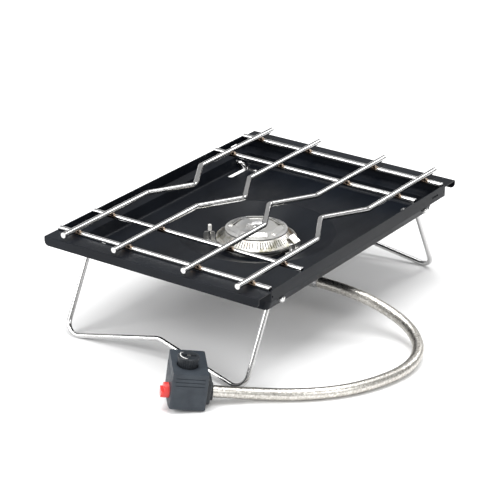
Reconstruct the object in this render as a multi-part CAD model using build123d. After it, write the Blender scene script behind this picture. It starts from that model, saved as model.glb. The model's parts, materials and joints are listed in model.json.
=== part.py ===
from build123d import *
import math
import os

# A canister stove that drops into a table frame: a stepped steel pan with two hanging flanges,
# a lift-off rod grate, a ring burner in a dished floor, two folding wire legs, and a braided
# hose to a canister valve with its own igniter button.
# Millimetres. +X across the pan, +Y along its length, +Z up. The origin is on the ground,
# under the centre of the burner.

# ---------------------------------------------------------------- driving dimensions
OVERALL_LENGTH = 360.0       # outside of one hanging lip to the other
OVERALL_WIDTH = 250.0
SIDE_WALL_TOP = 103.0
SHEET = 1.2
FLANGE_TOP = 101.7
FLANGE_REACH = 19.4          # from the end wall out to the lip
LIP_HEIGHT = 9.2
UPPER_WALL_BOTTOM = 90.8     # outside bottom edge of the upper wall
LEDGE_BOTTOM = 87.0          # outside, where the ledge meets the lower wall
FLOOR_BOTTOM = 74.8
LEDGE_INSET_X = 7.8
LEDGE_INSET_Y = 9.6
FLOOR_INSET_X = 11.5
FLOOR_INSET_Y = 10.4
WELL_CORNER = 5.5            # corners of the ledge and the floor, in plan
DISH_RADIUS = 80.0
DISH_FLAT_RADIUS = 46.0
DISH_DEPTH = 13.0

LEG_WIRE = 5.0
LEG_X = 106.0
LEG_PIVOT_Y = 131.5
LEG_PIVOT_Z = 82.5
LEG_TILT = 27.85             # degrees outward from straight down
LEG_CORNER_RADIUS = 13.0
LEG_APEX_SHARE = 0.74        # how far down the leg the raised middle of the foot bar is
LEG_STUB_END = 119.2
PIVOT_CLEARANCE = 0.06

ROD_DIAMETER = 5.5
CROSSBAR_DIAMETER = 5.0
ROD_Z = 108.2
CROSSBAR_Z = 103.5
OUTER_ROD_X = 101.4
INNER_ROD_X = 40.6
BEND_DEPTH = 26.0
BEND_HALF_LENGTH = 46.0
BEND_RADIUS = 7.0
ROD_HALF_LENGTH = 179.0
GRATE_Y = -1.0               # the loose grate lies a little towards the near end
END_CROSSBAR_Y = 156.8       # from the grate's own middle
MID_CROSSBAR_Y = 103.8
CROSSBAR_HALF_LENGTH = 122.6

CAP_RADIUS = 31.5
SKIRT_RADIUS = 40.6
SKIRT_TOP = 77.9
SKIRT_BOTTOM = 69.0
PORT_COUNT = 84
LOUVRE_COUNT = 6
LOUVRE_FIRST_ANGLE = 7.0

JET_AXIS_Z = 40.0
FERRULE_END = 76.0
HOSE_DIAMETER = 11.6
VALVE_CENTRE = (71.0, -223.6)   # the canister's axis, where the valve's frame has its origin
VALVE_AZIMUTH = 41.5         # degrees from +X to the side that the hose enters
VALVE_LEAN = 6.9             # the free valve lies tipped towards its hose
VALVE_LIFT = 1.6
HOUSING_X = 2.0              # the housing's middle, across the canister's axis
VALVE_HALF_WIDTH = 16.4
VALVE_HALF_DEPTH = 23.4
VALVE_BULGE = 2.2            # how far the lower sides swell beyond the narrow top
VALVE_FRONT_HEIGHT = 37.7
VALVE_BACK_HEIGHT = 40.2
VALVE_UNDERSIDE = 1.6
PARTING_Z = 22.0
HOUSING_WALL = 2.0
HOSE_Y_IN_VALVE = -4.5
HOSE_Z_IN_VALVE = 13.5
BOSS_END = 25.5
POD_WIDTH = 23.0             # the swelling on the housing's side round the hose
POD_HEIGHT = 27.0
POD_MIDDLE_Z = 16.0
KNOB_Y = -4.0
KNOB_RADIUS = 10.3           # at the top; the drum narrows downwards
KNOB_FOOT_RADIUS = 8.9
KNOB_HEIGHT = 12.8
KNOB_BOTTOM = 37.0
FLUTE_COUNT = 30
BUTTON_Y = -11.2
BUTTON_Z = 15.5
BUTTON_RADIUS = 7.2
BUTTON_FACE = -20.6
BUTTON_INNER_END = -12.8
SOCKET_Y = -2.0
SOCKET_RADIUS = 5.55         # 7/16 inch canister thread
SOCKET_MOUTH = 0.6
SOCKET_LENGTH = 8.0
SEAL_RADIUS = 6.3
SEAL_TOP = 10.6


def in_valve(x, y, z):
    """A point given in the valve's own frame, in the part's frame."""
    turn = math.radians(VALVE_AZIMUTH)
    lean = math.radians(VALVE_LEAN)
    level = x * math.cos(lean) + z * math.sin(lean)
    height = z * math.cos(lean) - x * math.sin(lean) + VALVE_LIFT
    return (VALVE_CENTRE[0] + level * math.cos(turn) - y * math.sin(turn),
            VALVE_CENTRE[1] + level * math.sin(turn) + y * math.cos(turn), height)


# The hose leaves the burner's pipe level, sweeps round on the ground and enters the valve.
HOSE_ROUTE = [
    (FERRULE_END, 0.0, JET_AXIS_Z), (111.0, 0.0, JET_AXIS_Z), (144.7, 11.9, 26.0),
    (180.8, 4.1, 16.3), (206.2, -22.1, 10.1), (212.9, -58.5, 6.8), (202.0, -100.0, 6.2),
    (183.7, -133.2, 6.1), (154.7, -162.3, 6.4),
    in_valve(BOSS_END + 34.5, HOSE_Y_IN_VALVE, HOSE_Z_IN_VALVE),
    in_valve(BOSS_END, HOSE_Y_IN_VALVE, HOSE_Z_IN_VALVE),
]

LOW = (Align.CENTER, Align.CENTER, Align.MIN)


# ---------------------------------------------------------------- helpers
def plan(half_x, half_y, corner, z):
    """A level rounded rectangle about the Z axis."""
    return Pos(0, 0, z) * RectangleRounded(2 * half_x, 2 * half_y, corner)


def disc(radius, bottom, top):
    return Pos(0, 0, bottom) * Cylinder(radius, top - bottom, align=LOW)


def block(x0, x1, y0, y1, z0, z1):
    return Pos((x0 + x1) / 2, (y0 + y1) / 2, (z0 + z1) / 2) * Box(x1 - x0, y1 - y0, z1 - z0)


def along_x(radius, x0, x1, y=0.0, z=0.0):
    """A cylinder along X."""
    return Pos(x0, y, z) * Rot(0, 90, 0) * Cylinder(radius, x1 - x0, align=LOW)


def hexagon_along_x(across_flats, x0, x1, z):
    prism = extrude(RegularPolygon(across_flats / 2, 6, major_radius=False), x1 - x0)
    return Pos(x0, 0, z) * Rot(0, 90, 0) * prism


def turned(points):
    """A solid of revolution about Z from its half section, given as (radius, height)."""
    return revolve(Plane.XZ * make_face(Polyline(*points, close=True)), Axis.Z)


def rod(points, radii, diameter):
    """A round bar along straight runs joined by tangent arcs."""
    path = FilletPolyline(*points, radius=radii)
    section = Plane(origin=path @ 0, z_dir=path % 0) * Circle(diameter / 2)
    return sweep(section, path=path)


def straight_rod(start, end, diameter):
    path = Line(start, end)
    section = Plane(origin=path @ 0, z_dir=path % 0) * Circle(diameter / 2)
    return sweep(section, path=path)


# ---------------------------------------------------------------- pan
def pan_stack(grow, lift):
    """The stepped well of the pan as one solid: its outside, or the space inside it."""
    half_x = OVERALL_WIDTH / 2 + grow
    half_y = OVERALL_LENGTH / 2 - FLANGE_REACH + grow
    upper = plan(half_x, half_y, 1.6 + grow, UPPER_WALL_BOTTOM + lift)
    ledge = plan(half_x - LEDGE_INSET_X, half_y - LEDGE_INSET_Y, WELL_CORNER,
                 LEDGE_BOTTOM + lift)
    floor = plan(half_x - FLOOR_INSET_X, half_y - FLOOR_INSET_Y, WELL_CORNER,
                 FLOOR_BOTTOM + lift)
    walls = extrude(upper, SIDE_WALL_TOP - UPPER_WALL_BOTTOM - lift)
    lower = loft([floor, ledge], ruled=True)
    lower = fillet(lower.edges().group_by(Axis.Z)[0], 3.0)
    return walls + loft([ledge, upper], ruled=True) + lower


def dish(lift):
    """The round drop in the floor around the burner."""
    bottom = FLOOR_BOTTOM + lift - DISH_DEPTH
    cone = Cone(DISH_FLAT_RADIUS, DISH_RADIUS, DISH_DEPTH, align=LOW)
    return Pos(0, 0, bottom) * fillet(cone.edges().group_by(Axis.Z)[0], 8.0)


def leg_slots():
    """The four slots that the leg wires pass and fold through."""
    inner_end = 104.0
    outer_end = 138.8
    width = LEG_WIRE + 1.2
    slot = SlotOverall(outer_end - inner_end, width, rotation=90)
    middle = (inner_end + outer_end) / 2
    return [
        Pos(sx * LEG_X, sy * middle, FLOOR_BOTTOM - 2) * extrude(slot, 6)
        for sx in (-1, 1) for sy in (-1, 1)
    ]


def make_pan():
    half_x = OVERALL_WIDTH / 2
    end_wall = OVERALL_LENGTH / 2 - FLANGE_REACH
    lip = OVERALL_LENGTH / 2
    outside = pan_stack(0, 0) + dish(0)
    for side in (-1, 1):
        near, far = sorted((side * (end_wall - 0.5), side * lip))
        flange = block(-half_x, half_x, near, far, FLANGE_TOP - SHEET, FLANGE_TOP)
        near, far = sorted((side * (lip - SHEET), side * lip))
        hanging = block(-half_x, half_x, near, far, FLANGE_TOP - LIP_HEIGHT, FLANGE_TOP)
        low_ends = hanging.edges().filter_by(Axis.Y).group_by(Axis.Z)[0]
        outside += flange + fillet(low_ends, 5.0)
    pan = outside - pan_stack(-SHEET, SHEET) - dish(SHEET + 0.05)
    # The end walls stop at the flange, and the side walls' top corners are rounded.
    corner = 4.0
    for side in (-1, 1):
        near, far = sorted((side * (end_wall - SHEET - 0.1), side * (end_wall + 0.1)))
        pan -= block(-half_x + SHEET, half_x - SHEET, near, far, FLANGE_TOP, SIDE_WALL_TOP + 1)
        # The bend from the end wall into the flange.
        bend = 1.1
        inner = end_wall - SHEET
        near, far = sorted((side * inner, side * (inner + bend)))
        notch = block(-half_x + SHEET, half_x - SHEET, near, far, FLANGE_TOP - bend, FLANGE_TOP)
        pan -= notch - along_x(bend, -half_x, half_x, side * (inner + bend), FLANGE_TOP - bend)
        near, far = sorted((side * (end_wall - corner), side * (end_wall + 0.01)))
        for sx in (-1, 1):
            low_x, high_x = sorted((sx * (half_x - SHEET), sx * (half_x + 0.01)))
            notch = block(low_x, high_x, near, far, SIDE_WALL_TOP - corner, SIDE_WALL_TOP + 0.01)
            round_off = along_x(corner, low_x, high_x, side * (end_wall - corner),
                                SIDE_WALL_TOP - corner)
            pan -= notch - round_off
    lip_bends = [
        e for e in pan.edges().filter_by(Axis.X)
        if abs(abs(e.center().Y) - lip) < 0.01 and abs(e.center().Z - FLANGE_TOP) < 0.01
    ]
    pan = fillet(lip_bends, 1.1)
    cuts = leg_slots()
    cuts.append(disc(27.0, FLOOR_BOTTOM - DISH_DEPTH - 5, FLOOR_BOTTOM))
    for sx in (-1, 1):
        low_x, high_x = sorted((sx * (half_x - 14), sx * (half_x - 4)))
        for sy in (-1, 1):
            cuts.append(along_x(LEG_WIRE / 2 + PIVOT_CLEARANCE, low_x, high_x,
                                sy * LEG_PIVOT_Y, LEG_PIVOT_Z))
            relief_x = sorted((sx * (half_x - 3), sx * (half_x + 1)))
            cuts.append(along_x(1.1, relief_x[0], relief_x[1], sy * 157.6, 96.0))
        # A short slot at the far end of each upper side wall.
        low_x, high_x = sorted((sx * (half_x - 3), sx * (half_x + 1)))
        cuts.append(block(low_x, high_x, 133.0, 145.0, 95.6, 97.6))
    for angle in (90, 210, 330):
        cuts.append(Rot(0, 0, angle) * Pos(31, 0, 0) * disc(1.6, 55, 70))
    cuts.append(ELECTRODE_PLACE * disc(2.6, 50, 70))
    cuts.append(CLIP_SCREW_PLACE * disc(1.3, 55, 72))
    for sx in (-1, 1):
        for sy in (-1, 1):
            cuts.append(Pos(sx * 93.0, sy * 134.0, 0) * disc(1.5, 70, 80))
    return pan - cuts


def make_leg_clips():
    """Spring strips on the floor that steady the open legs, and the rivets that hold them."""
    clips = []
    rivets = []
    top = FLOOR_BOTTOM + SHEET
    for sx in (-1, 1):
        for sy in (-1, 1):
            place = Pos(sx * 93.0, sy * 134.0, 0)
            reach = sorted((-sx * 3.5, sx * 9.0))
            strip = block(reach[0], reach[1], -2.2, 2.2, top, top + 0.8)
            tip = sorted((sx * 8.2, sx * 9.0))
            strip += block(tip[0], tip[1], -2.2, 2.2, top, top + 4.0)
            clips.append(place * (strip - disc(1.5, top - 1, top + 2)))
            shank = disc(1.5, FLOOR_BOTTOM - 0.9, top + 0.8)
            head = disc(2.4, top + 0.8, top + 1.9)
            head = fillet(head.edges().group_by(Axis.Z)[-1], 0.9)
            tail = disc(2.3, FLOOR_BOTTOM - 0.9, FLOOR_BOTTOM)
            rivets.append(place * (shank + head + tail))
    return clips, rivets


# ---------------------------------------------------------------- legs
def make_leg(side):
    """One leg: a wire U with a raised foot bar and two outward ends that turn in the pan."""
    tilt = math.radians(LEG_TILT)
    rise = (1 - LEG_APEX_SHARE) / LEG_X
    # The length that puts the underside of the rounded corners on the ground.
    ground_reach = (LEG_PIVOT_Z - LEG_WIRE / 2) / math.cos(tilt)
    length = ground_reach
    for _ in range(20):
        slope = math.atan(rise * length)
        lost = LEG_CORNER_RADIUS * (math.tan(slope) + 1 / math.cos(slope) - 1)
        length = ground_reach + lost

    def at(x, down):
        return (x, side * (LEG_PIVOT_Y + down * math.sin(tilt)), LEG_PIVOT_Z - down * math.cos(tilt))

    corners = [(LEG_STUB_END, 0), (LEG_X, 0), (LEG_X, length), (0, LEG_APEX_SHARE * length),
               (-LEG_X, length), (-LEG_X, 0), (-LEG_STUB_END, 0)]
    radii = [5.5, LEG_CORNER_RADIUS, 16, LEG_CORNER_RADIUS, 5.5]
    return rod([at(x, down) for x, down in corners], radii, LEG_WIRE)


def make_leg_caps(side):
    """Domed push-on caps outside the pan that keep the leg's ends in their holes."""
    caps = []
    for sx in (-1, 1):
        cap = Cylinder(3.3, 3.6, align=LOW)
        cap = fillet(cap.edges().group_by(Axis.Z)[-1], 2.2)
        cap -= Cylinder(LEG_WIRE / 2, LEG_STUB_END - 117.3, align=LOW)
        caps.append(Pos(sx * 117.3, side * LEG_PIVOT_Y, LEG_PIVOT_Z) * Rot(0, sx * 90, 0) * cap)
    return caps


# ---------------------------------------------------------------- grate
def make_grate_rod(x):
    """A long rod, straight but for one bend towards the middle over the burner."""
    tip = x - math.copysign(BEND_DEPTH, x)
    points = [(x, GRATE_Y - ROD_HALF_LENGTH, ROD_Z), (x, -BEND_HALF_LENGTH, ROD_Z), (tip, 0, ROD_Z),
              (x, BEND_HALF_LENGTH, ROD_Z), (x, GRATE_Y + ROD_HALF_LENGTH, ROD_Z)]
    return rod(points, [BEND_RADIUS] * 3, ROD_DIAMETER)


def make_crossbar(along, rods):
    y = GRATE_Y + along
    start = (-CROSSBAR_HALF_LENGTH, y, CROSSBAR_Z)
    bar = straight_rod(start, (CROSSBAR_HALF_LENGTH, y, CROSSBAR_Z), CROSSBAR_DIAMETER)
    return (bar - rods).solid()


def make_welds(rods, crossbars):
    """A bead on each side of every crossing."""
    beads = []
    for x in (-OUTER_ROD_X, -INNER_ROD_X, INNER_ROD_X, OUTER_ROD_X):
        for y in (-END_CROSSBAR_Y, -MID_CROSSBAR_Y, MID_CROSSBAR_Y, END_CROSSBAR_Y):
            for side in (-1, 1):
                bead = Pos(x + side * 2.7, GRATE_Y + y, 105.5) * Sphere(1.6)
                beads.append((bead - rods - crossbars).solid())
    return beads


# ---------------------------------------------------------------- burner
def louvre_places():
    step = 360 / LOUVRE_COUNT
    return [Rot(0, 0, LOUVRE_FIRST_ANGLE + step * k) for k in range(LOUVRE_COUNT)]


def make_cap():
    """The top plate: a shallow dome with a middle recess and six raised louvres."""
    cap = turned([
        (2.2, 80.2), (9.4, 80.2), (10.4, 81.6), (20.0, 81.6), (CAP_RADIUS, 79.3),
        (CAP_RADIUS, SKIRT_TOP), (CAP_RADIUS - 1, SKIRT_TOP), (CAP_RADIUS - 1, 78.5),
        (19.8, 80.6), (11.2, 80.6), (10.2, 79.2), (2.2, 79.2),
    ])
    opening = block(20.8, 25.6, -9.0, 9.0, 76, 84)
    flap = Pos(26.3, 0, 80.2) * Rot(0, 24, 0) * block(-5.6, 0, -9.6, 9.6, -0.4, 0.5)
    ends = block(21.2, 26.0, -9.6, -9.0, 79.9, 81.0) + block(21.2, 26.0, 9.0, 9.6, 79.9, 81.0)
    cap -= [place * opening for place in louvre_places()]
    for place in louvre_places():
        cap += place * (flap + ends)
    return cap.solid()


def make_skirt():
    """The sloping ring of narrow ports that the flames come from."""
    skirt = turned([
        (CAP_RADIUS - 1, SKIRT_TOP), (CAP_RADIUS, SKIRT_TOP), (39.4, 70.4),
        (SKIRT_RADIUS, 70.2), (SKIRT_RADIUS, SKIRT_BOTTOM), (39.3, SKIRT_BOTTOM),
        (39.0, 69.4), (38.4, 69.9),
    ])
    step = 360 / PORT_COUNT
    port = block(30, 41, -0.38, 0.38, 71.6, 76.8)
    return skirt - [Rot(0, 0, step * (k + 0.5)) * port for k in range(PORT_COUNT)]


def make_burner_cup():
    return turned([
        (SKIRT_RADIUS, SKIRT_BOTTOM), (SKIRT_RADIUS, 68.0), (37.0, 68.0), (25.5, 64.6),
        (25.5, 57.0), (11.0, 51.0), (11.0, 46.0), (9.8, 46.0), (9.8, 51.8), (24.3, 57.8),
        (24.3, 65.4), (36.6, SKIRT_BOTTOM),
    ])


def make_baffle():
    """The plate inside the burner that spreads the gas and carries the cap's screw."""
    plate = turned([(1.6, 69.0), (38.2, 69.0), (38.2, 69.8), (4.0, 69.8), (4.0, 79.2), (1.6, 79.2)])
    return plate - [Rot(0, 0, 30 * k) * Pos(19, 0, 0) * disc(3.6, 68, 71) for k in range(12)]


def make_cap_screw():
    head = disc(3.8, 80.2, 82.2)
    head = fillet(head.edges().group_by(Axis.Z)[-1], 1.0)
    slot = block(-5, 5, -0.5, 0.5, 81.5, 83)
    return head + disc(1.6, 72, 80.2) - slot


def make_mounting_ring():
    ring = disc(36.0, 63.05, 64.5) - disc(25.5, 60, 66)
    return ring - [Rot(0, 0, a) * Pos(31, 0, 0) * disc(1.5, 60, 66) for a in (90, 210, 330)]


def make_ring_screws():
    screws = []
    under = FLOOR_BOTTOM - DISH_DEPTH
    for angle in (90, 210, 330):
        head = disc(2.8, under - 1.9, under)
        head = fillet(head.edges().group_by(Axis.Z)[0], 0.8)
        screws.append(Rot(0, 0, angle) * Pos(31, 0, 0) * (head + disc(1.5, under, 64.5)))
    return screws


CLIP_SCREW_PLACE = Pos(43.6, -8.5, 0)


def make_burner_clip():
    """A bent strip beside the burner with a sloping tab over its rim."""
    floor_top = 63.1
    foot = block(41.6, 49.0, -12.5, 14.0, floor_top, floor_top + 1.0)
    riser = block(42.6, 43.6, 4.5, 14.0, floor_top, 71.6)
    tab = Pos(43.6, 0, 71.6) * Rot(0, 33, 0) * block(-9.6, 0, 4.5, 14.0, -1.0, 0)
    lug = block(42.0, 45.6, -4.4, -0.8, floor_top, 72.2)
    clip = ((foot + riser + lug) & dish(SHEET + 0.15)) + tab
    return clip - CLIP_SCREW_PLACE * disc(1.25, 60, 70)


def make_clip_screws():
    """A pan-head screw through the strip's foot and a smaller one on its lug."""
    head = disc(2.6, 64.1, 66.1)
    head = fillet(head.edges().group_by(Axis.Z)[-1], 1.0)
    lug_head = disc(2.2, 72.2, 74.0)
    lug_head = fillet(lug_head.edges().group_by(Axis.Z)[-1], 0.9)
    return [CLIP_SCREW_PLACE * (head + disc(1.25, 60.2, 64.1)), Pos(43.8, -2.6, 0) * lug_head]


# ---------------------------------------------------------------- igniter electrode
ELECTRODE_CENTRE = (-38.0, -27.0)
ELECTRODE_PLACE = Pos(ELECTRODE_CENTRE[0], ELECTRODE_CENTRE[1], 0)


def make_electrode():
    """A spark electrode: a steel pin in a white ceramic, on a stem that a nut holds."""
    ceramic = disc(1.9, 76.6, 83.0)
    ceramic = fillet(ceramic.edges().group_by(Axis.Z)[-1], 0.8) - disc(0.6, 70, 84)
    pin = disc(0.6, 58.0, 83.6)
    stem = disc(1.3, 66.0, 76.6) + disc(1.5, 57.0, 66.0) + disc(2.2, 64.3, 66.0)
    stem -= disc(0.6, 50, 80)
    nut = Pos(0, 0, 59.2) * extrude(RegularPolygon(3.2, 6, major_radius=False), 2.5)
    nut -= disc(1.5, 58, 63)
    return [ELECTRODE_PLACE * piece for piece in (ceramic, pin, stem, nut)]


def make_electrode_bracket():
    """A plate foot under the stem's collar with an upright ear behind the electrode."""
    foot = block(-5.0, 8.5, -5.0, 4.0, 63.1, 64.3)
    ear = block(-6.4, 5.3, 2.8, 4.0, 63.1, 74.0)
    ear = fillet(ear.edges().filter_by(Axis.Y).group_by(Axis.Z)[-1], 2.5)
    bracket = ELECTRODE_PLACE * Rot(0, 0, 35) * (foot + ear - disc(1.55, 60, 66))
    return bracket & dish(SHEET + 0.1)


def make_ignition_lead():
    """The insulated wire from the electrode's foot to the gas pipe's flange."""
    x, y = ELECTRODE_CENTRE
    points = [(x, y, 57.0), (x, y, 45.0), (-20.0, -34.0, 37.0), (14.0, -36.0, 38.0),
              (45.2, -30.0, 40.0), (45.2, -9.0, 40.0)]
    return rod(points, [9, 16, 40, 14], 2.0)


# ---------------------------------------------------------------- gas pipe under the pan
def make_mixing_elbow():
    body = disc(12.6, 29.5, 50.0) + along_x(9.0, 0, 44, z=JET_AXIS_Z)
    body -= [disc(9.8, 33.0, 46.0), disc(11.0, 46.0, 52.0), along_x(7.0, 0, 45, z=JET_AXIS_Z)]
    for angle in (0, 90, 180, 270):
        port = Pos(0, 0, JET_AXIS_Z) * Rot(angle, 0, 0) * block(30, 38, -2.2, 2.2, 5, 12)
        body -= port
    return body


def make_air_shutter():
    """A sleeve that turns over the air ports and trims the flame."""
    sleeve = along_x(10.2, 26, 37, z=JET_AXIS_Z) - along_x(9.0, 20, 45, z=JET_AXIS_Z)
    window = block(29, 35, -2.6, 2.6, 5, 12)
    for angle in (20, 110, 200, 290):
        sleeve -= Pos(0, 0, JET_AXIS_Z) * Rot(angle, 0, 0) * window
    return sleeve


def make_jet_holder():
    holder = along_x(7.0, 41, 44, z=JET_AXIS_Z) + along_x(9.0, 44, 46.5, z=JET_AXIS_Z)
    holder += hexagon_along_x(15.0, 46.5, 53, JET_AXIS_Z)
    return (holder - along_x(2.2, 38, 54, z=JET_AXIS_Z))


def make_gas_jet():
    jet = along_x(2.2, 38.5, 53, z=JET_AXIS_Z) - along_x(1.2, 40, 54, z=JET_AXIS_Z)
    return (jet - along_x(0.3, 38, 41, z=JET_AXIS_Z))


def make_hose_nut():
    nut = hexagon_along_x(16.0, 53, 62, JET_AXIS_Z) - along_x(3.0, 52, 63, z=JET_AXIS_Z)
    return nut


def make_hose_ferrule():
    """The crimped sleeve that the hose comes out of."""
    sleeve = along_x(6.9, 62, FERRULE_END, z=JET_AXIS_Z)
    for x in (64.5, 68.5, 72.5):
        groove = along_x(8.0, x, x + 1.4, z=JET_AXIS_Z) - along_x(6.4, x - 1, x + 3, z=JET_AXIS_Z)
        sleeve -= groove
    return sleeve


def hose_radii():
    """Each bend's radius: as large as its two runs allow."""
    points = [Vector(*p) for p in HOSE_ROUTE]
    radii = []
    for before, here, after in zip(points, points[1:], points[2:]):
        shorter = min((here - before).length, (after - here).length)
        half_turn = math.radians((here - before).get_angle(after - here)) / 2
        radii.append(0.45 * shorter / math.tan(half_turn))
    return radii


def make_hose():
    radii = hose_radii()
    hose = rod(HOSE_ROUTE, radii, HOSE_DIAMETER)
    length = FilletPolyline(*HOSE_ROUTE, radius=radii).length
    section = math.pi * HOSE_DIAMETER ** 2 / 4
    print("hose bend radii, mm:", [round(r) for r in radii])
    print("hose length, mm:", round(length), "volume over section times length:",
          round(hose.volume / (section * length), 4))
    return hose


# ---------------------------------------------------------------- canister valve
VALVE_PLACE = (Pos(VALVE_CENTRE[0], VALVE_CENTRE[1], VALVE_LIFT) * Rot(0, 0, VALVE_AZIMUTH)
               * Rot(0, VALVE_LEAN, 0))
HOUSING_SCREWS = ((-9.3, 17.4), (12.2, 17.4))
PLUNGER_Y = BUTTON_Y - 5.4
WIDEST_Z = 15.0
STRAIGHT_FROM_Z = 31.0


def valve_shape(shrink):
    """The outside of the valve's housing, or the space inside it."""
    half_x = VALVE_HALF_WIDTH - shrink
    half_y = VALVE_HALF_DEPTH - shrink
    widest = half_x + VALVE_BULGE
    foot = half_x + 0.9
    low = VALVE_UNDERSIDE + shrink
    side_view = Plane.YZ * make_face(Polyline(
        (-half_y, low), (half_y, low), (half_y, VALVE_BACK_HEIGHT - shrink),
        (-half_y, VALVE_FRONT_HEIGHT - shrink), close=True,
    ))
    front_view = Plane.XZ * make_face(
        Polyline((-half_x, STRAIGHT_FROM_Z), (-half_x, 60), (half_x, 60), (half_x, STRAIGHT_FROM_Z))
        + ThreePointArc((half_x, STRAIGHT_FROM_Z), (widest, WIDEST_Z), (foot, low))
        + Line((foot, low), (-foot, low))
        + ThreePointArc((-foot, low), (-widest, WIDEST_Z), (-half_x, STRAIGHT_FROM_Z))
    )
    from_above = make_face(
        ThreePointArc((half_x, -half_y), (widest, 0), (half_x, half_y))
        + Line((half_x, half_y), (-half_x, half_y))
        + ThreePointArc((-half_x, half_y), (-widest, 0), (-half_x, -half_y))
        + Line((-half_x, -half_y), (half_x, -half_y))
    )
    if shrink == 0:
        from_above = fillet(from_above.vertices(), 2.4)
    body = extrude(side_view, 30, both=True) & extrude(front_view, 30, both=True)
    body = body & extrude(from_above, 60)
    if shrink == 0:
        body = fillet(body.edges().group_by(Axis.Z)[0], 1.2)
    return Pos(HOUSING_X, 0, 0) * body


def valve_slab(low, high):
    return block(-60, 60, -60, 60, low, high)


def housing_shell():
    """The whole hollow housing, with the hose's and the button's holes through its sides."""
    shell = valve_shape(0) - valve_shape(HOUSING_WALL)
    shell -= along_x(6.0, 10, 30, HOSE_Y_IN_VALVE, HOSE_Z_IN_VALVE)
    return shell - along_x(BUTTON_RADIUS + 0.06, -30, -10, BUTTON_Y, BUTTON_Z)


def make_housing_base():
    """The lower shell: front, sides and underside, with the collar for the canister."""
    shell = housing_shell() & valve_slab(0, PARTING_Z)
    shell += Pos(0, SOCKET_Y, 0) * disc(12.5, 0, VALVE_UNDERSIDE + 4)
    shell -= Pos(0, SOCKET_Y, 0) * disc(9.0, -1, 12)
    for x, y in HOUSING_SCREWS:
        shell -= Pos(x, y, 0) * (disc(2.3, 0, 2.9) + disc(1.2, 2, 5))
    return VALVE_PLACE * shell


def make_housing_top():
    """The upper shell, with a shallow round seat for the knob and posts for the screws."""
    shell = housing_shell() & valve_slab(PARTING_Z, 60)
    for x, y in HOUSING_SCREWS:
        shell += (Pos(x, y, 0) * disc(2.8, 4.2, 60)) & valve_shape(1.0)
        shell -= Pos(x, y, 0) * disc(1.2, 3, 20)
    shell -= Pos(0, KNOB_Y, 0) * disc(KNOB_FOOT_RADIUS + 1.0, KNOB_BOTTOM - 0.6, 60)
    shell -= Pos(0, KNOB_Y, 0) * disc(3.06, 20, 60)
    front = -VALVE_HALF_DEPTH
    for z in (25.6, 29.2, 32.8):
        shell -= block(HOUSING_X - 13.5, HOUSING_X + 13.5, front - 1, front + 0.5, z, z + 0.9)
    return VALVE_PLACE * shell


def make_hose_boss():
    """The rounded pod and collar that the hose enters, with a tail through the housing's side."""
    y, z = HOSE_Y_IN_VALVE, HOSE_Z_IN_VALVE
    outline = Plane.YZ * RectangleRounded(POD_WIDTH, POD_HEIGHT, 6.5)
    pod = Pos(15.0, y, POD_MIDDLE_Z) * extrude(outline, 8.2)
    pod = fillet(pod.edges().group_by(Axis.X)[-1], 2.0)
    boss = pod + along_x(8.4, 23.2, BOSS_END, y, z)
    boss -= valve_shape(0)
    boss = boss.solids().sort_by(Axis.X)[-1]
    boss += along_x(6.0, 14.0, 22.0, y, z)
    return VALVE_PLACE * (boss - along_x(1.5, 13, BOSS_END - 2, y, z))


def make_valve_block():
    """The brass body that the socket, needle and outlet meet in."""
    body = block(-7.5, 13.9, -12.5, 9, 12.0, 27.5)
    body -= Pos(0, KNOB_Y, 0) * disc(1.56, 15.4, 30)
    body -= Pos(0, KNOB_Y, 0) * disc(0.7, 11, 16)
    body -= Pos(0, KNOB_Y, 0) * disc(3.06, 22, 30)
    body -= Pos(0, SOCKET_Y, 0) * disc(3.0, 10, 14.6)
    body -= along_x(1.2, 0, 11.8, KNOB_Y, 18.6)
    body -= Pos(11.8, HOSE_Y_IN_VALVE, 0) * disc(1.5, HOSE_Z_IN_VALVE - 1, 19.8)
    body -= along_x(1.5, 11.8, 15, HOSE_Y_IN_VALVE, HOSE_Z_IN_VALVE)
    return VALVE_PLACE * body


def make_canister_socket():
    """The threaded socket, at its thread's full diameter, open downwards.

    A wider groove at the thread's inner end holds the seal.
    """
    thread_end = SOCKET_MOUTH + SOCKET_LENGTH
    socket = disc(9.0, SOCKET_MOUTH, 12.0) - disc(SOCKET_RADIUS, -1, thread_end)
    socket -= disc(SEAL_RADIUS, thread_end, SEAL_TOP)
    return VALVE_PLACE * Pos(0, SOCKET_Y, 0) * (socket - disc(1.6, 0, 13))


def make_socket_seal():
    ring = disc(SEAL_RADIUS, SEAL_TOP - 1.2, SEAL_TOP) - disc(2.4, 8, 12)
    return VALVE_PLACE * Pos(0, SOCKET_Y, 0) * ring


def make_pin_depressor():
    """The hollow pin that opens the canister's own valve."""
    return VALVE_PLACE * Pos(0, SOCKET_Y, 0) * (disc(1.6, 9.1, 12.0) - disc(0.7, 4, 13))


def make_gas_filter():
    return VALVE_PLACE * Pos(0, SOCKET_Y, 0) * disc(3.0, 12.2, 14.6)


def make_spindle():
    """The stem that the knob turns; the needle's head sits inside it."""
    stem = disc(3.0, 22.6, KNOB_BOTTOM + 5.0)
    stem -= disc(1.56, 22, 28.4)
    stem -= disc(1.1, 36, KNOB_BOTTOM + 6)
    return VALVE_PLACE * Pos(0, KNOB_Y, 0) * stem


def make_needle():
    needle = disc(1.5, 17.3, 27.0) + Pos(0, 0, 15.5) * Cone(0.6, 1.5, 1.8, align=LOW)
    return VALVE_PLACE * Pos(0, KNOB_Y, 0) * needle


def make_spindle_nut():
    """The gland nut on the valve block that the spindle turns in."""
    nut = Pos(0, 0, 27.5) * extrude(RegularPolygon(5.5, 6, major_radius=False), 5.0)
    return VALVE_PLACE * Pos(0, KNOB_Y, 0) * (nut - disc(3.06, 20, 40))


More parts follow.
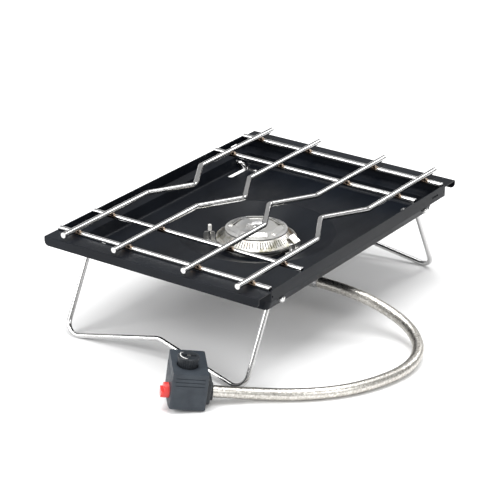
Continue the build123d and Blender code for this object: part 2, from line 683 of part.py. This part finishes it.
def make_knob():
    """The flame knob: a drum with a fluted side, a rounded top edge and a raised grip."""
    drum_height = KNOB_HEIGHT - 1.6
    knob = Cone(KNOB_FOOT_RADIUS, KNOB_RADIUS, drum_height, align=LOW)
    knob = fillet(knob.edges().group_by(Axis.Z)[-1], 1.2)
    grip = block(-7.4, 7.4, -1.6, 1.6, KNOB_HEIGHT - 3.0, KNOB_HEIGHT)
    knob += fillet(grip.edges().filter_by(Axis.Z), 1.2)
    spread = math.degrees(math.atan((KNOB_RADIUS - KNOB_FOOT_RADIUS) / drum_height))
    flute = Pos(KNOB_FOOT_RADIUS + 0.25, 0, 0) * Rot(0, spread, 0)
    flute *= Pos(0, 0, -2) * Cylinder(0.6, KNOB_HEIGHT + 4, align=LOW)
    knob -= [Rot(0, 0, 360 / FLUTE_COUNT * k) * flute for k in range(FLUTE_COUNT)]
    knob -= Cylinder(3.0, 5.0, align=LOW)
    knob -= Pos(0, 0, 5.0) * Cylinder(1.1, 10, align=LOW)
    knob -= Pos(0, 0, KNOB_HEIGHT - 3.4) * Cylinder(2.3, 5, align=LOW)
    knob -= knob_arc()
    return VALVE_PLACE * Pos(0, KNOB_Y, KNOB_BOTTOM) * knob.solid()


def knob_arc():
    """A raised white arc on the knob's top that shows which way opens it."""
    top = KNOB_HEIGHT - 1.6
    ring = disc(8.3, top - 0.4, top + 0.15) - disc(7.2, 0, 20)
    return ring & (Rot(0, 0, 195) * block(0, 12, -6.5, 6.5, 0, 20))


def make_knob_mark():
    return VALVE_PLACE * Pos(0, KNOB_Y, KNOB_BOTTOM) * knob_arc().solid()


def make_knob_screw():
    screw = disc(2.2, KNOB_HEIGHT - 3.4, KNOB_HEIGHT - 1.8) + disc(1.05, 1.0, KNOB_HEIGHT - 3.4)
    screw -= block(-3, 3, -0.3, 0.3, KNOB_HEIGHT - 2.3, KNOB_HEIGHT)
    return VALVE_PLACE * Pos(0, KNOB_Y, KNOB_BOTTOM) * screw


def make_button():
    """The igniter button: a round push button whose lower half stands further out."""
    y, z = BUTTON_Y, BUTTON_Z
    button = along_x(BUTTON_RADIUS, BUTTON_FACE, BUTTON_INNER_END, y, z)
    pad = along_x(BUTTON_RADIUS, BUTTON_FACE - 2.2, BUTTON_FACE, y, z)
    pad &= block(-30, -15, y - 8, y + 8, z - 8, z + 0.6)
    return VALVE_PLACE * (button + pad)


def make_plunger():
    return VALVE_PLACE * along_x(1.5, BUTTON_INNER_END, -3.0, PLUNGER_Y, BUTTON_Z)


def make_piezo():
    """The piezo striker, a sealed unit with its own spring, beside the valve block."""
    body = block(-7.4, 12, -20.9, -13.0, 11.5, 21.5)
    return VALVE_PLACE * (body - along_x(1.56, -8, 2.0, PLUNGER_Y, BUTTON_Z))


def make_valve_screws():
    screw = disc(1.2, 2.9, 20) + disc(2.3, VALVE_UNDERSIDE, 2.9)
    return [VALVE_PLACE * Pos(x, y, 0) * screw for x, y in HOUSING_SCREWS]


# ---------------------------------------------------------------- assembly
def build():
    nodes = {"pan": make_pan()}
    nodes["leg_clips"], nodes["leg_clip_rivets"] = make_leg_clips()
    for name, side in (("near", -1), ("far", 1)):
        nodes[name + "_leg"] = make_leg(side)
        nodes[name + "_leg_caps"] = make_leg_caps(side)

    rods = {
        "grate_rod_left_outer": make_grate_rod(-OUTER_ROD_X),
        "grate_rod_left_inner": make_grate_rod(-INNER_ROD_X),
        "grate_rod_right_inner": make_grate_rod(INNER_ROD_X),
        "grate_rod_right_outer": make_grate_rod(OUTER_ROD_X),
    }
    rod_list = list(rods.values())
    crossbars = {
        "grate_crossbar_near_end": make_crossbar(-END_CROSSBAR_Y, rod_list),
        "grate_crossbar_near_middle": make_crossbar(-MID_CROSSBAR_Y, rod_list),
        "grate_crossbar_far_middle": make_crossbar(MID_CROSSBAR_Y, rod_list),
        "grate_crossbar_far_end": make_crossbar(END_CROSSBAR_Y, rod_list),
    }
    nodes.update(rods)
    nodes.update(crossbars)
    nodes["grate_welds"] = make_welds(rod_list, list(crossbars.values()))

    nodes["burner_cap"] = make_cap()
    nodes["burner_skirt"] = make_skirt()
    nodes["burner_cup"] = make_burner_cup()
    nodes["burner_baffle"] = make_baffle()
    nodes["burner_cap_screw"] = make_cap_screw()
    nodes["burner_mounting_ring"] = make_mounting_ring()
    nodes["mounting_ring_screws"] = make_ring_screws()
    nodes["burner_clip"] = make_burner_clip()
    nodes["burner_clip_screws"] = make_clip_screws()
    electrode = make_electrode()
    nodes["electrode_ceramic"] = electrode[0]
    nodes["electrode_pin"] = electrode[1]
    nodes["electrode_stem"] = electrode[2]
    nodes["electrode_nut"] = electrode[3]
    nodes["electrode_bracket"] = make_electrode_bracket()
    nodes["ignition_lead"] = make_ignition_lead()

    nodes["mixing_elbow"] = make_mixing_elbow()
    nodes["air_shutter"] = make_air_shutter()
    nodes["jet_holder"] = make_jet_holder()
    nodes["gas_jet"] = make_gas_jet()
    nodes["hose_nut"] = make_hose_nut()
    nodes["hose_ferrule"] = make_hose_ferrule()
    nodes["hose"] = make_hose()

    nodes["valve_housing_base"] = make_housing_base()
    nodes["valve_housing_top"] = make_housing_top()
    nodes["valve_hose_boss"] = make_hose_boss()
    nodes["valve_block"] = make_valve_block()
    nodes["canister_socket"] = make_canister_socket()
    nodes["canister_seal"] = make_socket_seal()
    nodes["pin_depressor"] = make_pin_depressor()
    nodes["gas_filter"] = make_gas_filter()
    nodes["spindle_gland_nut"] = make_spindle_nut()
    nodes["valve_spindle"] = make_spindle()
    nodes["valve_needle"] = make_needle()
    nodes["flame_knob"] = make_knob()
    nodes["flame_knob_mark"] = make_knob_mark()
    nodes["flame_knob_screw"] = make_knob_screw()
    nodes["igniter_button"] = make_button()
    nodes["igniter_plunger"] = make_plunger()
    nodes["igniter_piezo"] = make_piezo()
    nodes["valve_housing_screws"] = make_valve_screws()
    return nodes


def write_parts(nodes):
    os.makedirs("parts", exist_ok=True)
    for name, shape in nodes.items():
        if isinstance(shape, list):
            shape = Compound(children=[solid for piece in shape for solid in piece.solids()])
        export_step(shape, f"parts/{name}.step")


write_parts(build())
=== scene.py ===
import bpy
import json
import math
from mathutils import Matrix, Vector


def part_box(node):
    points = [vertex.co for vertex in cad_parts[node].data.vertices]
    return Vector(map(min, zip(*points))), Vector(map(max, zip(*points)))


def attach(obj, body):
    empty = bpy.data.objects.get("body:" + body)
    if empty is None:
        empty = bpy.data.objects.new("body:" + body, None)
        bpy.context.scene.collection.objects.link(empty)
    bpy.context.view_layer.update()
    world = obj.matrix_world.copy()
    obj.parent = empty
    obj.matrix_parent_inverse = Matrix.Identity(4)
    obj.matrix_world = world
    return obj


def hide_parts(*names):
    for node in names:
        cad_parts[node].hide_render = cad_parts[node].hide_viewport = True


# The canister stove's finishes, its braided hose, and the studio that it is seen in.
# Metres, in the frame of the CAD model.

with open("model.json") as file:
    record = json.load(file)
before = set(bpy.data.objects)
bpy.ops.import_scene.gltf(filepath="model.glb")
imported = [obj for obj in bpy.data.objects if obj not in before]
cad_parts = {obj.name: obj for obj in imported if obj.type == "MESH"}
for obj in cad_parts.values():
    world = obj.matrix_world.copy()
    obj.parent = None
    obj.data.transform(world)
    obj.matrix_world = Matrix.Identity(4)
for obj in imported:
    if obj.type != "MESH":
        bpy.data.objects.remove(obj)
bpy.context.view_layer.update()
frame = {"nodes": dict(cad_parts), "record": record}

# ---------------------------------------------------------------- valve frame and hose route
VALVE_CENTRE = Vector((0.0710, -0.2236, 0.0016))
VALVE_AZIMUTH = 41.5
VALVE_LEAN = 6.9
HOSE_DIAMETER = 0.0116
HOSE_IN_VALVE = Vector((0.0255, -0.0045, 0.0135))    # in the valve's own frame
HOSE_STRAIGHT_END = Vector((0.0345, 0, 0))
ROUTE_ORDER = 3
ROUTE_RESOLUTION = 40        # curve steps between route points
BRAID_STRANDS = 20           # round the hose, in each direction
BRAID_PITCH = 0.0050         # along the hose for one strand's width of turn
BRAID_DEPTH = 0.00028        # from the strands' tops down to the gaps
BRAID_ROUNDING = 0.6         # below 1, strands have broad tops and narrow gaps
RING_STEP = 0.00055
RING_POINTS = 60


def in_valve(point):
    """A point given in the valve's own frame, in the part's frame."""
    turn = Matrix.Rotation(math.radians(VALVE_AZIMUTH), 3, "Z")
    lean = Matrix.Rotation(math.radians(VALVE_LEAN), 3, "Y")
    return VALVE_CENTRE + turn @ lean @ point


HOSE_ROUTE = [
    (0.0760, 0.0, 0.040), (0.1110, 0.0, 0.040), (0.1447, 0.0119, 0.026),
    (0.1808, 0.0041, 0.0163), (0.2062, -0.0221, 0.0101), (0.2129, -0.0585, 0.0068),
    (0.2020, -0.1000, 0.0062), (0.1837, -0.1332, 0.0061), (0.1547, -0.1623, 0.0064),
    in_valve(HOSE_IN_VALVE + HOSE_STRAIGHT_END), in_valve(HOSE_IN_VALVE),
]


def route_line():
    """Points along the route's NURBS spline, read from a curve with no bevel."""
    curve = bpy.data.curves.new("hose_route", "CURVE")
    curve.dimensions = "3D"
    spline = curve.splines.new("NURBS")
    spline.points.add(len(HOSE_ROUTE) - 1)
    for point, place in zip(spline.points, HOSE_ROUTE):
        point.co = (*place, 1)
    spline.order_u = ROUTE_ORDER
    spline.use_endpoint_u = True
    spline.resolution_u = ROUTE_RESOLUTION
    holder = bpy.data.objects.new("hose_route", curve)
    bpy.context.scene.collection.objects.link(holder)
    line = bpy.data.meshes.new_from_object(holder)
    points = [vertex.co.copy() for vertex in line.vertices]
    bpy.data.objects.remove(holder)
    bpy.data.curves.remove(curve)
    bpy.data.meshes.remove(line)
    return points


def evenly_spaced(points, step):
    """The line through the points, walked in equal steps."""
    length = sum((b - a).length for a, b in zip(points, points[1:]))
    count = round(length / step)
    spacing = length / count
    walked = [points[0].copy()]
    gone = 0.0
    for a, b in zip(points, points[1:]):
        run = (b - a).length
        while len(walked) < count and gone + run >= spacing * len(walked):
            walked.append(a.lerp(b, (spacing * len(walked) - gone) / run))
        gone += run
    walked.append(points[-1].copy())
    return walked


def braid_height(angle, along):
    """How far the braid's wires stand up, 0 to 1: two sets of strands, over and under."""
    turn = BRAID_STRANDS * angle
    travel = 2 * math.pi * along / BRAID_PITCH
    right_hand = abs(math.cos((turn + travel) / 2))
    left_hand = abs(math.cos((turn - travel) / 2))
    over = 0.5 + 0.5 * math.sin(turn / 2) * math.cos(travel / 2)
    return max(right_hand * over, left_hand * (1 - over)) ** BRAID_ROUNDING


def make_braided_hose():
    """A closed tube of rings along the route, each ring's points raised by the braid."""
    line = route_line()
    rings = evenly_spaced(line, RING_STEP)
    upright = Vector((0, 0, 1))
    vertices = []
    for index, centre in enumerate(rings):
        before = rings[max(index - 1, 0)]
        after = rings[min(index + 1, len(rings) - 1)]
        ahead = (after - before).normalized()
        side = ahead.cross(upright).normalized()
        top = side.cross(ahead)
        along = index * RING_STEP
        for k in range(RING_POINTS):
            angle = 2 * math.pi * k / RING_POINTS
            radius = HOSE_DIAMETER / 2 - BRAID_DEPTH * (1 - braid_height(angle, along))
            vertices.append(centre + radius * (side * math.cos(angle) + top * math.sin(angle)))
    faces = []
    for ring in range(len(rings) - 1):
        for k in range(RING_POINTS):
            here = ring * RING_POINTS + k
            beside = ring * RING_POINTS + (k + 1) % RING_POINTS
            faces.append((here, beside, beside + RING_POINTS, here + RING_POINTS))
    last = (len(rings) - 1) * RING_POINTS
    faces.append(tuple(range(RING_POINTS - 1, -1, -1)))
    faces.append(tuple(range(last, last + RING_POINTS)))
    mesh = bpy.data.meshes.new("braided_hose")
    mesh.from_pydata(vertices, [], faces)
    mesh.shade_smooth()
    hose = bpy.data.objects.new("braided_hose", mesh)
    bpy.context.scene.collection.objects.link(hose)
    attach(hose, "stove_body")
    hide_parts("hose")
    return hose


# ---------------------------------------------------------------- material building blocks
NOISE_LOW = 0.3              # most of a noise texture's values lie between these two
NOISE_HIGH = 0.7
BAND_DISTORTION = 1.5
BAND_DETAIL = 2.0


class Shader:
    """A Principled material whose colour, roughness and bump come from textures in metres."""

    def __init__(self, name):
        self.material = bpy.data.materials.new(name)
        self.material.use_nodes = True
        self.tree = self.material.node_tree
        self.surface = self.tree.nodes["Principled BSDF"]
        self.place = self.add("ShaderNodeTexCoord").outputs["Object"]
        self.normal = None

    def add(self, kind, **settings):
        node = self.tree.nodes.new(kind)
        for setting, value in settings.items():
            setattr(node, setting, value)
        return node

    def link(self, source, target):
        self.tree.links.new(source, target)

    def stretched(self, scale):
        mapping = self.add("ShaderNodeMapping")
        mapping.inputs["Scale"].default_value = scale
        self.link(self.place, mapping.inputs["Vector"])
        return mapping.outputs["Vector"]

    def noise(self, size, detail=4.0, rough=0.55, along=(1, 1, 1)):
        """Noise whose blotches are about size metres across."""
        noise = self.add("ShaderNodeTexNoise")
        noise.inputs["Scale"].default_value = 1 / size
        noise.inputs["Detail"].default_value = detail
        noise.inputs["Roughness"].default_value = rough
        self.link(self.stretched(along), noise.inputs["Vector"])
        return noise.outputs["Fac"]

    def bands(self, size, direction):
        """Slightly wavering bands that follow one another along direction."""
        wave = self.add("ShaderNodeTexWave", wave_type="BANDS", bands_direction=direction)
        wave.inputs["Scale"].default_value = 1 / size
        wave.inputs["Distortion"].default_value = BAND_DISTORTION
        wave.inputs["Detail"].default_value = BAND_DETAIL
        self.link(self.place, wave.inputs["Vector"])
        return wave.outputs["Fac"]

    def math(self, operation, first, second):
        node = self.add("ShaderNodeMath", operation=operation)
        for socket, value in zip(node.inputs, (first, second)):
            if isinstance(value, (int, float)):
                socket.default_value = value
            else:
                self.link(value, socket)
        return node.outputs["Value"]

    def rescaled(self, value, from_low, from_high, to_low, to_high):
        node = self.add("ShaderNodeMapRange")
        for socket, number in zip(node.inputs[1:5], (from_low, from_high, to_low, to_high)):
            socket.default_value = number
        self.link(value, node.inputs["Value"])
        return node.outputs["Result"]

    def ramp(self, value, *stops):
        """A colour from a value, by (place, colour) stops."""
        node = self.add("ShaderNodeValToRGB")
        elements = node.color_ramp.elements
        while len(elements) < len(stops):
            elements.new(0.5)
        for element, (place, colour) in zip(elements, stops):
            element.position = place
            element.color = (*colour, 1)
        self.link(value, node.inputs["Fac"])
        return node.outputs["Color"]

    def colour(self, source):
        self.link(source, self.surface.inputs["Base Color"])

    def cloudy_colour(self, size, dark, light, detail=4.0):
        """A base colour that drifts between two, in blotches about size metres across."""
        cloud = self.noise(size, detail=detail)
        self.colour(self.ramp(cloud, (NOISE_LOW, dark), (NOISE_HIGH, light)))

    def cloudy_roughness(self, size, smooth, dull, along=(1, 1, 1)):
        cloud = self.noise(size, along=along)
        patches = self.rescaled(cloud, NOISE_LOW, NOISE_HIGH, smooth, dull)
        self.link(patches, self.surface.inputs["Roughness"])

    def bump(self, height, depth):
        """Relief of about depth metres, on top of any relief added before."""
        node = self.add("ShaderNodeBump")
        node.inputs["Strength"].default_value = 1.0
        node.inputs["Distance"].default_value = depth
        self.link(height, node.inputs["Height"])
        if self.normal is not None:
            self.link(self.normal, node.inputs["Normal"])
        self.normal = node.outputs["Normal"]
        self.link(self.normal, self.surface.inputs["Normal"])

    def uneven(self, size, depth, **noise):
        """Relief of about depth metres, in blotches about size metres across."""
        self.bump(self.noise(size, **noise), depth)

    def set(self, **values):
        """Fixed values for the surface's sockets, with _ for each space in a name."""
        for name, value in values.items():
            self.surface.inputs[name.replace("_", " ")].default_value = value


# ---------------------------------------------------------------- finishes
ROD_RADIUS = 0.00275
# The dark weld brown is also the darkest part of the painted shadow and reflection of each rod
# on the crossbars; straw and pale are where that painted shadow fades out.
DARK_WELD_AND_ROD_SHADOW = (0.10, 0.075, 0.06)
ROD_SHADOW_STRAW_FADE = (0.42, 0.31, 0.22)
ROD_SHADOW_PALE_FADE = (0.58, 0.54, 0.50)
ROD_SHADOW_START = 0.0030      # from a rod's middle, where the painted rod shadow is at its full
ROD_SHADOW_END = 0.0085        # and where it has faded out
ROD_SHADOW_RAGGED = 0.0012     # how far its edge wanders each way


def grey(level):
    return (level, level, level)


def metal(name):
    s = Shader(name)
    s.set(Metallic=1.0)
    return s


def black_coating():
    """Satin black coating on pressed steel, with faint draw marks and rubbed patches."""
    s = Shader("black_coating")
    s.set(Metallic=0.0, Specular_IOR_Level=0.16)
    s.cloudy_colour(0.09, (0.0022, 0.0030, 0.0050), (0.0060, 0.0082, 0.0125), detail=5)
    s.cloudy_roughness(0.03, smooth=0.30, dull=0.46, along=(1, 0.25, 1))
    s.uneven(0.0011, depth=0.00004, detail=2)
    s.uneven(0.012, depth=0.00010, detail=3, along=(1, 0.12, 1))
    return s.material


def polished_wire():
    """Drawn and polished wire: fine lines along it and small dull spots."""
    s = metal("polished_wire")
    s.cloudy_colour(0.02, grey(0.56), (0.68, 0.675, 0.67))
    s.cloudy_roughness(0.006, smooth=0.10, dull=0.20)
    s.uneven(0.0009, depth=0.00002, detail=2, along=(1, 0.06, 1))
    return s.material


def crossbar_wire_painted_rod_shadow():
    """The crossbars' wire, darkened beside each rod welded to it by a painted shadow and painted
    reflection of the rod, fading through straw to grey.
    """
    s = metal("crossbar_wire_painted_rod_shadow")
    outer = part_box("grate_rod_right_outer")[1][0] - ROD_RADIUS
    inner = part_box("grate_rod_right_inner")[1][0] - ROD_RADIUS
    middle = (outer + inner) / 2
    split = s.add("ShaderNodeSeparateXYZ")
    s.link(s.place, split.inputs["Vector"])
    across = s.math("ABSOLUTE", split.outputs["X"], 0.0)
    from_middle = s.math("ABSOLUTE", s.math("SUBTRACT", across, middle), 0.0)
    away = s.math("ABSOLUTE", s.math("SUBTRACT", from_middle, (outer - inner) / 2), 0.0)
    wander = s.rescaled(s.noise(0.003), NOISE_LOW, NOISE_HIGH, -ROD_SHADOW_RAGGED, ROD_SHADOW_RAGGED)
    ragged = s.math("ADD", away, wander)
    rod_shadow_fade = s.rescaled(ragged, ROD_SHADOW_START, ROD_SHADOW_END, 0.0, 1.0)
    # Painted shadow and painted reflection of each rod: dark brown beside it, fading through
    # straw and pale to the wire's grey.
    s.colour(s.ramp(rod_shadow_fade, (0.0, DARK_WELD_AND_ROD_SHADOW), (0.35, ROD_SHADOW_STRAW_FADE), (0.6, ROD_SHADOW_PALE_FADE),
                    (1.0, grey(0.64))))
    s.cloudy_roughness(0.006, smooth=0.12, dull=0.24)
    s.uneven(0.0009, depth=0.00002, detail=2, along=(0.06, 1, 1))
    return s.material


def weld_bead():
    """Browned, rippled weld metal."""
    s = metal("weld_bead")
    s.cloudy_colour(0.0015, DARK_WELD_AND_ROD_SHADOW, (0.45, 0.38, 0.32))
    s.cloudy_roughness(0.001, smooth=0.25, dull=0.5)
    s.uneven(0.0008, depth=0.0002)
    return s.material


def bright_fastener():
    """Plated screws and small pins."""
    s = metal("bright_fastener")
    s.cloudy_colour(0.004, grey(0.60), (0.78, 0.78, 0.77))
    s.cloudy_roughness(0.002, smooth=0.20, dull=0.36)
    s.uneven(0.0006, depth=0.00003, detail=2)
    return s.material


def burner_steel(name, cool, warm, spread):
    """Satin stainless sheet, more or less coloured by heat in blotches of spread metres."""
    s = metal(name)
    heat = s.noise(spread, detail=5, rough=0.6)
    s.colour(s.ramp(heat, (0.38, cool), (0.52, (0.80, 0.79, 0.76)), (0.66, warm)))
    s.cloudy_roughness(0.004, smooth=0.28, dull=0.42)
    s.uneven(0.0007, depth=0.00003, detail=2)
    s.uneven(0.010, depth=0.00003, detail=2)
    return s.material


def cast_alloy():
    """Light alloy with the skin of its casting mould."""
    s = metal("cast_alloy")
    s.cloudy_colour(0.006, (0.38, 0.38, 0.39), (0.55, 0.55, 0.56))
    s.cloudy_roughness(0.003, smooth=0.45, dull=0.65)
    s.uneven(0.0009, depth=0.00012, detail=5, rough=0.7)
    return s.material


def turned_metal(name, dark, light, direction):
    """Metal with the fine rings that a lathe leaves."""
    s = metal(name)
    s.cloudy_colour(0.005, dark, light)
    s.cloudy_roughness(0.002, smooth=0.22, dull=0.38)
    s.bump(s.bands(0.0012, direction), 0.00002)
    s.uneven(0.0012, depth=0.00002)
    return s.material


def ceramic():
    """White glazed ceramic."""
    s = Shader("ceramic")
    s.set(Metallic=0.0, Coat_Weight=0.5, Coat_Roughness=0.08)
    s.cloudy_colour(0.003, (0.82, 0.81, 0.77), (0.92, 0.91, 0.88))
    s.cloudy_roughness(0.002, smooth=0.18, dull=0.30)
    s.uneven(0.0010, depth=0.00003, detail=2)
    return s.material


def rubber():
    """Dull black sleeve and seal."""
    s = Shader("lead_sleeve")
    s.set(Metallic=0.0, Specular_IOR_Level=0.3)
    s.cloudy_colour(0.004, (0.010, 0.010, 0.011), (0.028, 0.028, 0.030))
    s.cloudy_roughness(0.002, smooth=0.5, dull=0.7)
    s.uneven(0.0006, depth=0.00003)
    return s.material


def steel_braid():
    """Woven stainless wire, in small bright and brownish patches."""
    s = metal("steel_braid")
    s.cloudy_colour(0.0022, (0.42, 0.40, 0.36), (0.74, 0.72, 0.68), detail=3)
    s.cloudy_roughness(0.0016, smooth=0.24, dull=0.42)
    s.uneven(0.0004, depth=0.00004, detail=2)
    return s.material


def moulded(name, dark, light, smooth, dull, grain):
    """Moulded plastic with a fine spark-eroded grain and slightly rubbed areas."""
    s = Shader(name)
    s.set(Metallic=0.0, Specular_IOR_Level=0.3)
    s.cloudy_colour(0.012, dark, light)
    s.cloudy_roughness(0.005, smooth, dull)
    s.uneven(0.0005, depth=grain, detail=2)
    s.uneven(0.009, depth=grain, detail=2)
    return s.material


FINISHES = {
    "black_coating": black_coating(),
    "bright_wire": polished_wire(),
    "bright_fastener": bright_fastener(),
    "burner_steel": burner_steel("burner_steel", cool=grey(0.76), warm=(0.88, 0.88, 0.87),
                                 spread=0.03),
    "cast_alloy": cast_alloy(),
    "pipe_steel": turned_metal("pipe_steel", dark=(0.45, 0.45, 0.46), light=grey(0.62),
                               direction="X"),
    "brass": turned_metal("brass", dark=(0.58, 0.42, 0.17), light=(0.74, 0.57, 0.28),
                          direction="Z"),
    "ceramic": ceramic(),
    "lead_sleeve": rubber(),
    "steel_braid": steel_braid(),
    "valve_plastic": moulded("valve_plastic", dark=(0.028, 0.035, 0.044),
                             light=(0.040, 0.049, 0.060),
                             smooth=0.42, dull=0.58, grain=0.00004),
    "knob_plastic": moulded("knob_plastic", dark=(0.018, 0.021, 0.025),
                            light=(0.032, 0.036, 0.041),
                            smooth=0.30, dull=0.46, grain=0.00003),
    "mark_white": moulded("mark_white", dark=(0.78, 0.78, 0.76), light=(0.88, 0.88, 0.86),
                          smooth=0.45, dull=0.6, grain=0.00002),
    "button_red": moulded("button_red", dark=(0.62, 0.045, 0.040), light=(0.74, 0.070, 0.062),
                          smooth=0.28, dull=0.42, grain=0.00002),
}
OWN_FINISH = {
    "burner_skirt": burner_steel("heated_steel", cool=(0.42, 0.40, 0.31),
                                 warm=(0.62, 0.50, 0.38), spread=0.012),
    "grate_welds": weld_bead(),
}
CROSSBAR_FINISH = crossbar_wire_painted_rod_shadow()


def finish_nodes():
    """Every CAD node gets its slot's finish, or its own where heat has changed it, and the
    crossbars one with the painted shadow of each rod.
    """
    for part in frame["record"]["subparts"]:
        name = part["node"]
        finish = OWN_FINISH.get(name, FINISHES[part["material_slot"]])
        if name.startswith("grate_crossbar"):
            finish = CROSSBAR_FINISH
        mesh = frame["nodes"][name].data
        mesh.materials.clear()
        mesh.materials.append(finish)


# ---------------------------------------------------------------- studio
CAMERA_AZIMUTH = 34.35
CAMERA_ELEVATION = 23.45
CAMERA_ROLL = 0.5
CAMERA_DISTANCE = 2.12627
CAMERA_AIM = Vector((0.00074, -0.01922, 0.06635))
CAMERA_LENS = 156.1          # millimetres, as the sensor's width is
SENSOR_WIDTH = 36
VIEW_LIMIT = 20.0
FLOOR_HALF_WIDTH = 6.0
WORLD_STRENGTH = 0.45
LIGHT_AIM = Vector((0, 0, 0.05))
SOFTBOXES = [                # name, place, side in metres, watts
    ("key_softbox", (-1.1, -2.0, 1.5), 1.4, 42),
    ("fill_softbox", (2.2, -0.9, 1.3), 1.2, 18),
    ("top_softbox", (0.0, 0.1, 2.3), 1.9, 56),
    ("back_softbox", (0.75, 1.95, 1.6), 0.7, 12),
]


def make_camera():
    azimuth = math.radians(CAMERA_AZIMUTH)
    elevation = math.radians(CAMERA_ELEVATION)
    back = Vector((math.sin(azimuth) * math.cos(elevation),
                   -math.cos(azimuth) * math.cos(elevation), math.sin(elevation)))
    right = Vector((math.cos(azimuth), math.sin(azimuth), 0))
    turn = Matrix((right, back.cross(right), back)).transposed()
    roll = Matrix.Rotation(math.radians(CAMERA_ROLL), 3, "Z")
    data = bpy.data.cameras.new("camera")
    data.lens = CAMERA_LENS
    data.sensor_width = SENSOR_WIDTH
    data.clip_end = VIEW_LIMIT
    camera = bpy.data.objects.new("camera", data)
    camera.matrix_world = (Matrix.Translation(CAMERA_AIM + back * CAMERA_DISTANCE)
                           @ (turn @ roll).to_4x4())
    bpy.context.scene.collection.objects.link(camera)
    bpy.context.scene.camera = camera


def make_floor():
    half = FLOOR_HALF_WIDTH
    mesh = bpy.data.meshes.new("studio_floor")
    mesh.from_pydata([(-half, -half, 0), (half, -half, 0), (half, half, 0), (-half, half, 0)],
                     [], [(0, 1, 2, 3)])
    floor = bpy.data.objects.new("studio_floor", mesh)
    bpy.context.scene.collection.objects.link(floor)
    s = Shader("studio_floor")
    s.cloudy_colour(0.4, grey(0.93), grey(0.96))
    s.set(Specular_IOR_Level=0.1, Roughness=0.9)
    mesh.materials.append(s.material)


def make_world():
    """Even white light from all round."""
    world = bpy.data.worlds.new("studio")
    bpy.context.scene.world = world
    world.use_nodes = True
    background = world.node_tree.nodes["Background"]
    background.inputs["Color"].default_value = (1, 1, 1, 1)
    background.inputs["Strength"].default_value = WORLD_STRENGTH


def make_light(name, place, side, watts):
    """A square soft box that faces the stove."""
    data = bpy.data.lights.new(name, "AREA")
    data.size = side
    data.energy = watts
    light = bpy.data.objects.new(name, data)
    light.location = place
    aim = LIGHT_AIM - Vector(place)
    light.rotation_euler = aim.to_track_quat("-Z", "Y").to_euler()
    bpy.context.scene.collection.objects.link(light)


hose = make_braided_hose()
hose.data.materials.append(FINISHES["steel_braid"])
finish_nodes()
make_camera()
make_floor()
make_world()
for softbox in SOFTBOXES:
    make_light(*softbox)
bpy.context.scene.view_settings.view_transform = "Standard"    # keeps the pale floor pale
